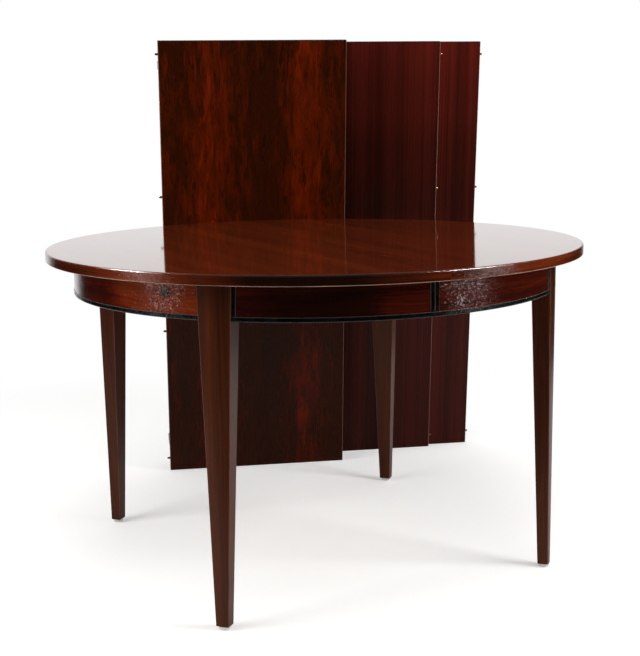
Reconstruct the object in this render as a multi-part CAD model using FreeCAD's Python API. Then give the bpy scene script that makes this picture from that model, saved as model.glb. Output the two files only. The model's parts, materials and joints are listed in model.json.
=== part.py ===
import FreeCAD, Part
import math
import os
from FreeCAD import Matrix, Vector

# Sizes in millimetres, +Z up, floor at zero

# where the table's own centre stands, the leaves lean behind it
table_x = -96.1
table_y = -113.4

# round top in two halves
top_r = 600.0
top_h = 715.0
top_t = 21.0
top_under = top_h - top_t
lip_w = 18.0
rim_round = 4.0
rim_under = 1.5
seam_gap = 0.5
seam_chamfer = 0.6

# curved apron under the top
apron_r_out = 540.0
apron_t = 18.0
apron_r_in = apron_r_out - apron_t
apron_h = 66.0
apron_low = top_under - apron_h
bead_h = 10.0
bead_proud = 1.2
bead_round = 3.0
bead_low = apron_low - bead_h
strip_w = 9.0
strip_gap = 0.5
strip_round = 0.8

# tapered legs on the diagonals
leg_turn = 44.4
leg_angles = {"front_right": -leg_turn, "back_right": leg_turn}
leg_angles.update({"back_left": 180 - leg_turn, "front_left": 180 + leg_turn})
leg_face_r = 545.0
leg_in_top = 499.0
leg_in_foot = 520.0
leg_w_top = 73.0
leg_w_foot = 28.0
leg_round = 4.0
glide_h = 8.0
glide_r = 11.0
glide_pin_r = 3.0
glide_pin_l = 18.0

# leg fixings
block_in = 468.0
block_w = 150.0
block_low = 632.0
block_high = 690.0
bolt_r = 4.0
bolt_in = 452.0
bolt_out = 532.0
bolt_heights = (648.0, 674.0)
nut_af = 13.0
nut_t = 6.5
flange_r = 10.0
flange_t = 1.6
glue_angles = (-80.0, -66.0, -22.0, -9.0, 9.0, 22.0, 66.0, 80.0)
glue_size = 22.0
glue_l = 50.0

# sliding runners, four side by side in a front and a back set
runner_half = 430.0
runner_t = 27.6
runner_pitch = 28.0
runner_first = 130.0
runner_low = 646.0
runner_step = 0.6
stage_high = 692.4
relief = 1.6
tongue_mid = 669.0
tongue_d = 10.0
tongue_root = 10.0
tongue_tip = 16.0
slide_fit = 0.4
stage_travel = 500.0
stop_x = 422.0
stop_r = 2.5
stop_play = 0.5
tongue_end = stop_x - stop_r - stop_play
tongue_start = tongue_end - (2.0 * tongue_end - stage_travel)
bar_t = 14.0
bar_w = 60.0
bar_mid = 100.0
screw_r = 2.5
screw_head_r = 4.6
screw_cone = 3.2

# pins along the joining edges
pin_r = 3.0
pin_l = 28.0
pin_proud = 8.0
pin_tip = 2.0
pin_places = (-565.0, -188.0, 188.0, 565.0)
socket_r = 3.4
socket_d = 10.0
snug = 0.02

# three loose leaves leaning on the back of the rim
leaf_l = 1200.0
leaf_w = 499.5
leaf_yaw = math.radians(-15.9)
leaf_foot = 679.4
leaf_lean = math.atan2(leaf_foot - top_r - 0.6, top_h - rim_round)
leaf_left = {"leaf_1": -318.0, "leaf_2": -35.0, "leaf_3": 86.0}
leaf_behind = {"leaf_1": 0.0, "leaf_2": 97.5, "leaf_3": 119.5}
leaf_shows_face = {"leaf_1": True, "leaf_2": False, "leaf_3": False}
axis_z = Vector(0, 0, 1)


def box(x0, x1, y0, y1, z0, z1):
    return Part.makeBox(x1 - x0, y1 - y0, z1 - z0, Vector(x0, y0, z0))


def rod(r, length, base, direction):
    return Part.makeCylinder(r, length, Vector(*base), Vector(*direction))


def turn(shape, degrees):
    moved = shape.copy()
    moved.rotate(Vector(0, 0, 0), axis_z, degrees)
    return moved


def outline(points, radii):
    # closed wire through the points with the given corner roundings
    edges = []
    starts = []
    ends = []
    for i, p in enumerate(points):
        r = radii[i]
        to_prev = (points[i - 1] - p).normalize()
        to_next = (points[(i + 1) % len(points)] - p).normalize()
        if r == 0:
            starts.append(p)
            ends.append(p)
            continue
        half = to_prev.getAngle(to_next) / 2.0
        a = p + to_prev * (r / math.tan(half))
        b = p + to_next * (r / math.tan(half))
        bisector = (to_prev + to_next).normalize()
        middle = p + bisector * (r / math.sin(half) - r)
        edges.append(Part.Arc(a, middle, b).toShape())
        starts.append(a)
        ends.append(b)
    for i in range(len(points)):
        nxt = (i + 1) % len(points)
        if (ends[i] - starts[nxt]).Length > 1e-6:
            edges.append(Part.makeLine(ends[i], starts[nxt]))
    return Part.Wire(Part.__sortEdges__(edges))


def spun(points, radii, a0, a1):
    # section in the XZ plane swept about the table's axis between two angles
    wire = outline([Vector(x, 0, z) for x, z in points], radii)
    solid = Part.Face(wire).revolve(Vector(0, 0, 0), axis_z, a1 - a0)
    return turn(solid, a0)


def run_x(points, x0, x1):
    # section in the YZ plane carried along X
    wire = outline([Vector(x0, y, z) for y, z in points], [0] * len(points))
    return Part.Face(wire).extrude(Vector(x1 - x0, 0, 0))


def ring(r_in, r_out, z0, z1, a0, a1):
    return spun([(r_in, z0), (r_out, z0), (r_out, z1), (r_in, z1)], [0, 0, 0, 0], a0, a1)


def seam_cutter():
    # takes away everything left of the right half's joining edge, with a fine chamfer on top
    g = seam_gap / 2.0
    edge = g + seam_chamfer
    pts = [(-700, 600), (g, 600), (g, top_h - seam_chamfer), (edge, top_h), (edge, 800), (-700, 800)]
    wire = outline([Vector(x, -700, z) for x, z in pts], [0] * len(pts))
    return Part.Face(wire).extrude(Vector(0, 1400, 0))


def edge_holes(x, direction, r, depth, z):
    return [rod(r, depth, (x, y, z), (direction, 0, 0)) for y in pin_places]


def rim_section(r):
    pts = [(r - lip_w, top_under), (r, top_under), (r, top_h), (r - lip_w, top_h)]
    return pts, [0, rim_under, rim_round, 0]


def half_panel():
    disc = Part.makeCylinder(top_r - lip_w, top_t, Vector(0, 0, top_under))
    return disc.cut(seam_cutter())


def half_lipping():
    pts, radii = rim_section(top_r)
    return spun(pts, radii, -90, 90).cut(seam_cutter())


def leg_wedge(extra):
    # the leg's tapered sides and back, left long on the outside
    far = 570.0
    w0 = leg_w_foot / 2.0 + extra
    w1 = leg_w_top / 2.0 + extra
    low = [(leg_in_foot, -w0), (far, -w0), (far, w0), (leg_in_foot, w0)]
    high = [(leg_in_top, -w1), (far, -w1), (far, w1), (leg_in_top, w1)]
    lo = [Vector(x, y, glide_h) for x, y in low]
    hi = [Vector(x, y, top_under) for x, y in high]
    loops = [lo, hi] + [[lo[i], lo[(i + 1) % 4], hi[(i + 1) % 4], hi[i]] for i in range(4)]
    faces = [Part.Face(Part.makePolygon(p + [p[0]])) for p in loops]
    return Part.Solid(Part.Shell(faces))


def leg():
    curve = Part.makeCylinder(leg_face_r, top_h)
    body = leg_wedge(0).common(curve)
    upright = [e for e in body.Edges if e.BoundBox.ZLength > 600]
    body = body.makeFillet(leg_round, upright)
    body = body.cut(rod(glide_pin_r + snug, glide_pin_l, (leg_centre(), 0, glide_h), (0, 0, 1)))
    for z in bolt_heights:
        body = body.cut(rod(bolt_r + snug, bolt_out - 400, (400, 0, z), (1, 0, 0)))
    return body


def leg_centre():
    return (leg_in_foot + leg_face_r - 0.4) / 2.0


def glide():
    tip = glide_h + glide_pin_l
    pts = [(0, 0), (glide_r - 1.5, 0), (glide_r, 1.5), (glide_r, glide_h), (glide_pin_r, glide_h)]
    pts += [(glide_pin_r, tip - 3), (1.0, tip), (0, tip)]
    foot = spun(pts, [0] * 8, 0, 360)
    foot.translate(Vector(leg_centre(), 0, 0))
    return foot


def corner_block():
    block = box(block_in, apron_r_in + 5, -block_w / 2, block_w / 2, block_low, block_high)
    block = block.common(Part.makeCylinder(apron_r_in - snug, top_h))
    block = block.cut(leg_wedge(0))
    for z in bolt_heights:
        block = block.cut(rod(bolt_r + 0.5, 80, (440, 0, z), (1, 0, 0)))
    return block


def leg_bolts():
    return [rod(bolt_r, bolt_out - bolt_in, (bolt_in, 0, z), (1, 0, 0)) for z in bolt_heights]


def leg_nuts():
    nuts = []
    for z in bolt_heights:
        corner = nut_af / math.sqrt(3.0)
        x0 = block_in - nut_t
        pts = []
        for k in range(6):
            a = math.radians(60 * k)
            pts.append((corner * math.cos(a), z + corner * math.sin(a)))
        hexagon = run_x(pts, x0, block_in)
        flange = rod(flange_r, flange_t, (block_in - flange_t, 0, z), (1, 0, 0))
        bore = rod(bolt_r + snug, 20, (x0 - 5, 0, z), (1, 0, 0))
        nuts.append(hexagon.fuse(flange).removeSplitter().cut(bore))
    return nuts


def bead_section(a0, a1):
    r = apron_r_out + bead_proud
    pts = [(apron_r_in, bead_low), (r, bead_low), (r, apron_low), (apron_r_in, apron_low)]
    return spun(pts, [0, bead_round, 0, 0], a0, a1)


def end_apron():
    panel = ring(apron_r_in, apron_r_out, apron_low, top_under, -leg_turn, leg_turn)
    return panel.cut(leg_at(-leg_turn, 0)).cut(leg_at(leg_turn, 0))


def end_bead():
    return bead_section(-leg_turn, leg_turn).cut(leg_at(-leg_turn, 0)).cut(leg_at(leg_turn, 0))


def leg_at(angle, extra):
    return turn(leg_wedge(extra), angle)


def seam_apron():
    # panel between the back leg and the joining edge, without its two end strips
    panel = ring(apron_r_in, apron_r_out, apron_low, top_under, leg_turn, 90)
    return panel.cut(leg_at(leg_turn, strip_w)).cut(box(-50, strip_gap + strip_w, 400, 700, 500, 800))


def seam_bead():
    bead = bead_section(leg_turn, 90)
    return bead.cut(leg_at(leg_turn, strip_w)).cut(box(-50, strip_gap + strip_w, 400, 700, 500, 800))


def seam_strips():
    r = apron_r_out + bead_proud
    whole = ring(apron_r_in, r, bead_low, top_under, leg_turn, 90)
    at_leg = whole.common(leg_at(leg_turn, strip_w)).cut(leg_at(leg_turn, 0))
    at_seam = whole.common(box(strip_gap, strip_gap + strip_w, 400, 700, 500, 800))
    softened = []
    for strip in (at_leg, at_seam):
        tall = [e for e in strip.Edges if e.BoundBox.ZLength > 60 and far_out(e, r)]
        softened.append(strip.makeFillet(strip_round, tall))
    return softened


def far_out(edge, r):
    c = edge.CenterOfMass
    return math.hypot(c.x, c.y) > r - 0.5


def glue_blocks():
    blocks = []
    inside = Part.makeCylinder(apron_r_in - snug, top_h)
    for a in glue_angles:
        z0 = top_under - glue_size
        block = box(apron_r_in - glue_size, apron_r_in + 4, -glue_l / 2, glue_l / 2, z0, top_under)
        blocks.append(turn(block.common(inside), a))
    return blocks


def runner_slot(k):
    # inner and outer distance from the middle of the table for runner k, counted outwards
    y0 = runner_first + k * runner_pitch
    return y0, y0 + runner_t


def tongue_points(y, grow):
    root = tongue_root / 2.0 + grow
    tip = tongue_tip / 2.0 + grow
    m = tongue_mid
    return [(y - 1, m - root), (y, m - root), (y + tongue_d + grow, m - tip),
            (y + tongue_d + grow, m + tip), (y, m + root), (y - 1, m + root)]


def runner_bottom(k):
    # each runner clears the crossbar of the stage outside it
    return runner_low + runner_step * max(0, 2 - k)


def runner(k):
    # bar with a short dovetail tongue outside and a full-length groove inside
    y0, y1 = runner_slot(k)
    high = top_under if k in (0, 3) else stage_high
    bar = box(-runner_half, runner_half, y0, y1, runner_bottom(k), high)
    if k == 3:
        bar = bar.cut(box(-500, seam_gap, y0 - 1, y1 + 1, top_under - relief, 720))
    if k == 0:
        bar = bar.cut(box(-seam_gap, 500, y0 - 1, y1 + 1, top_under - relief, 720))
    if k < 3:
        bar = bar.fuse(run_x(tongue_points(y1, 0), tongue_start, tongue_end))
    if k > 0:
        bar = bar.cut(run_x(tongue_points(y0, slide_fit), -500, 500))
        for x in (-stop_x, stop_x):
            bar = bar.cut(rod(stop_r + snug, 100, (x, stop_y(k), runner_bottom(k) + 4), (0, 0, 1)))
    return bar.removeSplitter()


def stop_y(k):
    return runner_slot(k)[0] + 5.2


def stop_pins(k):
    z0 = runner_bottom(k) + 4
    z1 = top_under - relief - 0.6
    return [rod(stop_r, z1 - z0, (x, stop_y(k), z0), (0, 0, 1)) for x in (-stop_x, stop_x)]


def screw(x, y, z, length):
    # countersunk screw pointing up from z
    pts = [(0, 0), (screw_head_r, 0), (screw_r, screw_cone)]
    pts += [(screw_r, length - 4), (0.6, length), (0, length)]
    s = spun(pts, [0] * 6, 0, 360)
    s.translate(Vector(x, y, z))
    return s


def screw_hole(x, y, z, length):
    pts = [(0, -20), (screw_head_r + snug, -20), (screw_head_r + snug, 0), (screw_r + snug, screw_cone)]
    pts += [(screw_r + snug, length - 4), (0.6 + snug, length + snug), (0, length + snug)]
    s = spun(pts, [0] * 7, 0, 360)
    s.translate(Vector(x, y, z))
    return s


def fixing_points(k, side):
    y = runner_slot(k)[1] - 9.0
    return [(side * x, y) for x in (70.0, 240.0, 400.0)]


def crossbar(k):
    # flat batten tying the front and back runners of one moving stage
    y1 = runner_slot(k)[1]
    mid = bar_mid if k == 2 else -bar_mid
    z1 = runner_bottom(k)
    pts = [(-y1, z1 - bar_t), (y1, z1 - bar_t), (y1, z1), (-y1, z1)]
    wire = outline([Vector(mid - bar_w / 2, y, z) for y, z in pts], [2, 2, 0, 0])
    return Part.Face(wire).extrude(Vector(bar_w, 0, 0))


def bar_points(k):
    mid = bar_mid if k == 2 else -bar_mid
    y = runner_slot(k)[1] - 9.0
    return [(mid - 15, y), (mid + 15, y)]


def leaf_panel():
    w = leaf_w / 2.0
    y = leaf_l / 2.0 - lip_w
    c = seam_chamfer
    pts = [(-w, -top_t), (w, -top_t), (w, -c), (w - c, 0), (-w + c, 0), (-w, -c)]
    wire = outline([Vector(x, -y, z) for x, z in pts], [0] * 6)
    panel = Part.Face(wire).extrude(Vector(0, 2 * y, 0))
    for tool in edge_holes(-w, 1, pin_r + snug, pin_l - pin_proud, -top_t / 2):
        panel = panel.cut(tool)
    for tool in edge_holes(w, -1, socket_r, socket_d, -top_t / 2):
        panel = panel.cut(tool)
    return panel


def leaf_lippings():
    w = leaf_w / 2.0
    y = leaf_l / 2.0
    pts = [(y - lip_w, -top_t), (y, -top_t), (y, 0), (y - lip_w, 0)]
    wire = outline([Vector(-w, a, z) for a, z in pts], [0, rim_under, rim_round, 0])
    far = Part.Face(wire).extrude(Vector(leaf_w, 0, 0))
    return [turn(far, 180), far]


def edge_pins(x, z):
    # four pins standing out to the left of an edge at x, each with a tapered tip
    pins = []
    for y in pin_places:
        start = x - pin_proud
        shank = rod(pin_r, pin_l - pin_tip, (start + pin_tip, y, z), (1, 0, 0))
        tip = Part.makeCone(pin_r - pin_tip / 2, pin_r, pin_tip, Vector(start, y, z), Vector(1, 0, 0))
        pins.append(shank.fuse(tip))
    return pins


def leaf_rails():
    # short straight apron under each end of the leaf, with its bead and end strips
    w = leaf_w / 2.0 - strip_gap
    z = -top_t
    rail = box(-w + strip_w, w - strip_w, apron_r_in, apron_r_out, z - apron_h, z)
    out = apron_r_out + bead_proud
    low = z - apron_h - bead_h
    pts = [(apron_r_in, low), (out, low), (out, low + bead_h), (apron_r_in, low + bead_h)]
    wire = outline([Vector(-w + strip_w, y, h) for y, h in pts], [0, bead_round, 0, 0])
    bead = Part.Face(wire).extrude(Vector(2 * (w - strip_w), 0, 0))
    strips = []
    for x in (w - strip_w, -w):
        strip = box(x, x + strip_w, apron_r_in, out, low, z)
        tall = [e for e in strip.Edges if e.BoundBox.ZLength > 60 and e.CenterOfMass.y > out - 0.01]
        strip = strip.makeFillet(strip_round, tall)
        strips += [strip, turn(strip, 180)]
    return [rail, turn(rail, 180)], [bead, turn(bead, 180)], strips


def lean(shape, name):
    # stand a flat leaf on its end against the rim
    c = math.cos(leaf_lean)
    s = math.sin(leaf_lean)
    across = Vector(math.cos(leaf_yaw), math.sin(leaf_yaw), 0)
    away = Vector(-across.y, across.x, 0)
    up = axis_z * c - away * s
    out = away * c + axis_z * s
    lowest = rim_round if leaf_shows_face[name] else rim_under
    centre = away * (leaf_foot + leaf_behind[name] / c) + across * (leaf_left[name] + leaf_w / 2)
    centre = centre + up * (leaf_l / 2) - axis_z * (lowest * (c + s - 1))
    side = across
    face = out * -1.0
    if not leaf_shows_face[name]:
        side = across * -1.0
        face = out
        centre = centre + out * top_t
    m = Matrix(side.x, up.x, face.x, centre.x, side.y, up.y, face.y, centre.y,
               side.z, up.z, face.z, centre.z, 0, 0, 0, 1)
    moved = shape.copy()
    moved.Placement = FreeCAD.Placement(m).multiply(moved.Placement)
    return moved


def save(name, shapes):
    whole = shapes[0] if len(shapes) == 1 else Part.makeCompound(shapes)
    moved = whole.copy()
    moved.translate(Vector(table_x, table_y, 0))
    moved.exportStep("parts/" + name + ".step")


def mirrored_y(shape):
    return shape.mirror(Vector(0, 0, 0), Vector(0, 1, 0))


def build_tops():
    panel = half_panel()
    mid = top_h - top_t / 2
    g = seam_gap / 2
    right = panel
    for tool in edge_holes(g, 1, pin_r + snug, pin_l - pin_proud, mid):
        right = right.cut(tool)
    left = turn(panel, 180)
    for tool in edge_holes(-g, -1, socket_r, socket_d, mid):
        left = left.cut(tool)
    for side, slot, top in ((1, 3, right), (-1, 0, left)):
        for x, y in fixing_points(slot, side):
            for tool_y in (y, -y):
                top = top.cut(screw_hole(x, tool_y, top_under - 28, 40))
        name = "right" if side > 0 else "left"
        save(name + "_top_panel", [top])
        save(name + "_edge_lipping", [turn(half_lipping(), 0 if side > 0 else 180)])
    save("right_edge_pins", edge_pins(g, mid))


def build_frames():
    front = mirrored_y(seam_apron())
    for name, angle in (("right", 0), ("left", 180)):
        save(name + "_end_apron", [turn(end_apron(), angle)])
        pair = {"back": seam_apron(), "front": front}
        near, far = ("front", "back") if angle == 0 else ("back", "front")
        save(name + "_front_apron", [turn(pair[near], angle)])
        save(name + "_back_apron", [turn(pair[far], angle)])
        trim = [seam_bead()] + seam_strips()
        trim = [end_bead()] + trim + [mirrored_y(t) for t in trim]
        save(name + "_apron_edging", [turn(t, angle) for t in trim])
        save(name + "_glue_blocks", [turn(b, angle) for b in glue_blocks()])
        ends = [a for n, a in leg_angles.items() if n.endswith(name)]
        save(name + "_leg_bolts", [turn(b, a) for a in ends for b in leg_bolts()])
        save(name + "_leg_nuts", [turn(n, a) for a in ends for n in leg_nuts()])
    for name, angle in leg_angles.items():
        save(name + "_leg", [turn(leg(), angle)])
        save(name + "_glide", [turn(glide(), angle)])
        save(name + "_corner_block", [turn(corner_block(), angle)])


def build_runners():
    names = {3: "right", 2: "stage_1", 1: "stage_2", 0: "left"}
    for k, name in names.items():
        bar = runner(k)
        if k in (0, 3):
            side = 1 if k == 3 else -1
            places = fixing_points(k, side)
            start, length = top_under - 28, 40
        else:
            places = bar_points(k)
            start, length = runner_bottom(k) - bar_t, 34
        for x, y in places:
            bar = bar.cut(screw_hole(x, y, start, length))
        save(name + "_back_runner", [bar])
        save(name + "_front_runner", [mirrored_y(bar)])
        screws = [screw(x, f * y, start, length) for x, y in places for f in (1, -1)]
        save(name + "_runner_screws", screws)
        if k > 0:
            pins = stop_pins(k)
            save(name + "_stop_pins", pins + [mirrored_y(p) for p in pins])
        if k in (1, 2):
            tie = crossbar(k)
            for x, y in places:
                for f in (1, -1):
                    tie = tie.cut(screw_hole(x, f * y, start, length))
            save(name + "_crossbar", [tie])


def build_leaves():
    for name in leaf_left:
        save(name + "_panel", [lean(leaf_panel(), name)])
        save(name + "_end_lippings", [lean(s, name) for s in leaf_lippings()])
        save(name + "_edge_pins", [lean(s, name) for s in edge_pins(-leaf_w / 2, -top_t / 2)])
    rails, beads, strips = leaf_rails()
    save("leaf_1_aprons", [lean(s, "leaf_1") for s in rails])
    save("leaf_1_apron_edging", [lean(s, "leaf_1") for s in beads + strips])


os.makedirs("parts", exist_ok=True)
build_tops()
build_frames()
build_runners()
build_leaves()
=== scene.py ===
import json
import math
import bmesh
import bpy
from mathutils import Matrix, Vector


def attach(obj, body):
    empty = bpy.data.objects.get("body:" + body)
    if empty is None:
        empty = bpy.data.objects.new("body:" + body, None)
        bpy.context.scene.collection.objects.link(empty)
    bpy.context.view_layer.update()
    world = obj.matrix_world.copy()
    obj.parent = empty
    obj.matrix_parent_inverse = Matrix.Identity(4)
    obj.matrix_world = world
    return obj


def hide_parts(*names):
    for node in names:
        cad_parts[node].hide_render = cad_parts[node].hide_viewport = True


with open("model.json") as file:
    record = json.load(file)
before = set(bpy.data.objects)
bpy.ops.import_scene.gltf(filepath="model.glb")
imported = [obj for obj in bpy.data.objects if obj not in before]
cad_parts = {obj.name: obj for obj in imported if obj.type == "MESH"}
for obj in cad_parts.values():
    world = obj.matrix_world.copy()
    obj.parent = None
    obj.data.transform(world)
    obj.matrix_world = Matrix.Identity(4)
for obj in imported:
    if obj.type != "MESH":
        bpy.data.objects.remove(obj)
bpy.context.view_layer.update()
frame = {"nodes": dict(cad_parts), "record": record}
scene = bpy.context.scene
nodes = frame["nodes"]
mm = 0.001

# the round table's own centre; the sizes below are millimetres measured from it
tableCentre = Vector((-96.1, -113.4, 0.0)) * mm
upright = Vector((0.0, 0.0, 1.0))
legAngles = {"front_right": -44.4, "back_right": 44.4, "back_left": 135.6, "front_left": 224.4}
sideAngles = {"right": 0.0, "left": 180.0}


# level direction at an angle from the table's length
def bearing(degrees):
    return Vector((math.cos(math.radians(degrees)), math.sin(math.radians(degrees)), 0.0))


def linear(hexColour):
    parts = [int(hexColour[i:i + 2], 16) / 255 for i in (1, 3, 5)]
    return tuple(c / 12.92 if c <= 0.04045 else ((c + 0.055) / 1.055) ** 2.4 for c in parts) + (1.0,)


# adds a node; its inputs come in order or by name, and one that is another node's output is linked
def addNode(tree, kind, inputs=(), stops=(), output=None, **settings):
    node = tree.nodes.new("ShaderNode" + kind)
    for name, value in settings.items():
        setattr(node, name, value)
    for key, value in inputs.items() if isinstance(inputs, dict) else enumerate(inputs):
        if isinstance(value, bpy.types.NodeSocket):
            tree.links.new(value, node.inputs[key])
        else:
            node.inputs[key].default_value = value
    for i, (place, colour) in enumerate(stops):
        row = node.color_ramp.elements
        element = row[i] if i < 2 else row.new(place)
        element.position = place
        element.color = linear(colour) if isinstance(colour, str) else (colour, colour, colour, 1.0)
    if output:
        return node.outputs[output]
    return next((socket for socket in node.outputs if socket.enabled), None)


def startMaterial(name):
    material = bpy.data.materials.new(name)
    material.use_nodes = True
    material.node_tree.nodes.clear()
    return material, material.node_tree


def markScale(sizeMm):
    longMm, wideMm = sizeMm
    return (1 / (longMm * mm), 1 / (wideMm * mm), 1 / (wideMm * mm))


# noise drawn out along the grain, its size given as length and width of a mark
def marks(tree, vector, sizeMm, detail):
    drawn = addNode(tree, "Mapping", {"Vector": vector, "Scale": markScale(sizeMm)})
    return addNode(tree, "TexNoise", {"Vector": drawn, "Scale": 1.0, "Detail": detail, "Roughness": 0.55})


# lacquer crazed into small flakes, each lifted a little its own way, so that they glint one by one
def crazed(tree, vector, flakes, share, normal):
    drawn = addNode(tree, "Mapping", {"Vector": vector, "Scale": markScale(flakes["sizeMm"])})
    cells = addNode(tree, "TexVoronoi", {"Vector": drawn, "Scale": 1.0}, output="Color")
    lean = addNode(tree, "VectorMath", [cells, (0.5, 0.5, 0.0)], operation="SUBTRACT")
    lean = addNode(tree, "VectorMath", [lean, flakes["lift"]], operation="MULTIPLY")
    apart = addNode(tree, "SeparateXYZ", [cells], output="Z")
    few = addNode(tree, "Math", [apart, flakes["rare"]], operation="POWER")
    raised = addNode(tree, "Math", [few, share], operation="MULTIPLY")
    lean = addNode(tree, "VectorMath", {0: lean, "Scale": raised}, operation="SCALE")
    lifted = addNode(tree, "VectorMath", [normal, lean], operation="ADD")
    return addNode(tree, "VectorMath", [lifted], operation="NORMALIZE")


# limits that all rosewood shares: the noise values between which a mark comes in,
# and how far wear, painted arris highlights and knots reach
veneer = {"poreEdges": (0.56, 0.7), "poreShadeEdges": (0.58, 0.7), "inkEdges": (0.54, 0.68),
          "streakEdges": (0.3, 0.7), "arrisPatchEdges": (0.35, 0.55), "arrisPatchShare": (0.4, 1.0),
          "edgeFade": 0.4, "endFade": 0.5, "plainContrast": 0.25,
          "scuffEdges": (0.78, 0.84), "scuffSpread": (0.5, 0.62), "scuffSpreadMm": (120.0, 120.0),
          "scuffTurns": (0.4, 1.9),
          "knotNear": (1.0, 0.4), "knotEye": (0.34, 0.05), "knotTwist": 0.6, "knotRough": 0.7}
smooth = {"interpolation_type": "SMOOTHSTEP"}
refraction = 1.5


# lighter and darker places along the sheet: the wood's own figure, and painted light and shade, lighter where
# the side lamps fall on the lipping and apron and darker on the leaves below and just above the table; the
# streaks stand out most in the light ones
def figureAndPaintedLightTone(tree, look, bent, tone):
    level = 0.0
    for figureAndPaintedLight in look["figureAndPaintedLight"]:
        along = addNode(tree, "SeparateXYZ", [bent], output=figureAndPaintedLight["axis"])
        perSpan = 1 / (figureAndPaintedLight["spanMm"] * mm)
        share = addNode(tree, "Math", [along, perSpan, figureAndPaintedLight["shift"]], operation="MULTIPLY_ADD")
        place = addNode(tree, "ValToRGB", [share], figureAndPaintedLight["stops"])
        place.node.color_ramp.interpolation = "EASE"
        level = addNode(tree, "Math", [place, level], operation="ADD")
    contrast = addNode(tree, "Math", [level, look["contrast"], veneer["plainContrast"]],
                       operation="MULTIPLY_ADD")
    centred = addNode(tree, "Math", [tone, 0.5], operation="SUBTRACT")
    return addNode(tree, "Math", [centred, contrast, level], operation="MULTIPLY_ADD")


# grain turns round a knot's dark eye, and the torn fibres near it stand up in small feathers
def knotted(tree, knot, radiusMm, grain, tone, normal):
    size = (1 / (knot["wideMm"] * mm), 1 / (knot["tallMm"] * mm), 0.0)
    along = -math.radians(knot["degrees"]) * radiusMm * mm * size[0]
    place = (along, -knot["heightMm"] * mm * size[1], 0.0)
    local = addNode(tree, "Mapping", {"Vector": grain, "Scale": size, "Location": place})
    far = addNode(tree, "VectorMath", [local], operation="LENGTH")
    flat = addNode(tree, "SeparateXYZ", [local]).node.outputs
    angle = addNode(tree, "Math", [flat["Y"], flat["X"]], operation="ARCTAN2")
    feathered = addNode(tree, "Math", [angle, knot["feathers"]], operation="MULTIPLY")
    twisted = addNode(tree, "Math", [angle, veneer["knotTwist"]], operation="MULTIPLY")
    ringed = addNode(tree, "Math", [far, knot["rings"], twisted], operation="MULTIPLY_ADD")
    polar = addNode(tree, "CombineXYZ", [feathered, ringed])
    torn = addNode(tree, "TexNoise", {"Vector": polar, "Scale": 1.0, "Detail": 2.0,
                   "Roughness": veneer["knotRough"]})
    near = addNode(tree, "MapRange", [far, *veneer["knotNear"]], **smooth)
    eye = addNode(tree, "MapRange", [far, *veneer["knotEye"]], **smooth)
    torn = addNode(tree, "Math", [torn, 0.5], operation="SUBTRACT")
    swirl = addNode(tree, "Math", [near, knot["swirl"]], operation="MULTIPLY")
    swirl = addNode(tree, "Math", [torn, swirl], operation="MULTIPLY")
    tone = addNode(tree, "Math", [tone, swirl], operation="ADD")
    eye = addNode(tree, "Math", [eye, knot["eye"]], operation="MULTIPLY")
    tone = addNode(tree, "Math", [tone, eye], operation="SUBTRACT")
    return tone, crazed(tree, polar, knot["flakes"], near, normal)


# handled arrises of a leaf, where it is rubbed back to lighter wood
def handledEdges(tree, look, grain):
    apart = addNode(tree, "SeparateXYZ", [grain]).node.outputs
    half, deep, edge = look["sheetMm"] * mm / 2, look["thickMm"] * mm / 2, look["edgeMm"] * mm
    insides = []
    for axis, middle, reach in (("Y", half, half), ("Z", look["deepMm"] * mm + deep, deep)):
        away = addNode(tree, "Math", [apart[axis], middle], operation="ADD")
        away = addNode(tree, "Math", [away], operation="ABSOLUTE")
        insides.append(addNode(tree, "Math", [reach, away], operation="SUBTRACT"))
    inside = addNode(tree, "Math", insides, operation="MAXIMUM")
    return addNode(tree, "MapRange", [inside, edge, edge * veneer["edgeFade"]], **smooth)


# painted shade: the last few millimetres at each end of a leaf are darkened, where its end edges lie in shade
def shadedLeafEnds(tree, look, grain, base):
    end = look["endMm"] * mm
    away = addNode(tree, "SeparateXYZ", [grain], output="X")
    away = addNode(tree, "Math", [away], operation="ABSOLUTE")
    left = addNode(tree, "Math", [look["lengthMm"] * mm / 2, away], operation="SUBTRACT")
    share = addNode(tree, "MapRange", [left, end, end * veneer["endFade"]], **smooth)
    return addNode(tree, "Mix", {"Factor": share, "A": base, "B": linear(look["endColour"])},
                   data_type="RGBA")


# short fine scratches, gathered in places
def scuffs(tree, look, grain):
    masks = []
    for turn in veneer["scuffTurns"]:
        laid = addNode(tree, "Mapping", {"Vector": grain, "Rotation": (0.0, 0.0, turn)})
        lines = marks(tree, laid, look["scuffMm"], 0.0)
        lines = addNode(tree, "MapRange", [lines, *veneer["scuffEdges"]], **smooth)
        spread = marks(tree, laid, veneer["scuffSpreadMm"], 1.0)
        spread = addNode(tree, "MapRange", [spread, *veneer["scuffSpread"]], **smooth)
        masks.append(addNode(tree, "Math", [lines, spread], operation="MULTIPLY"))
    return masks


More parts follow.
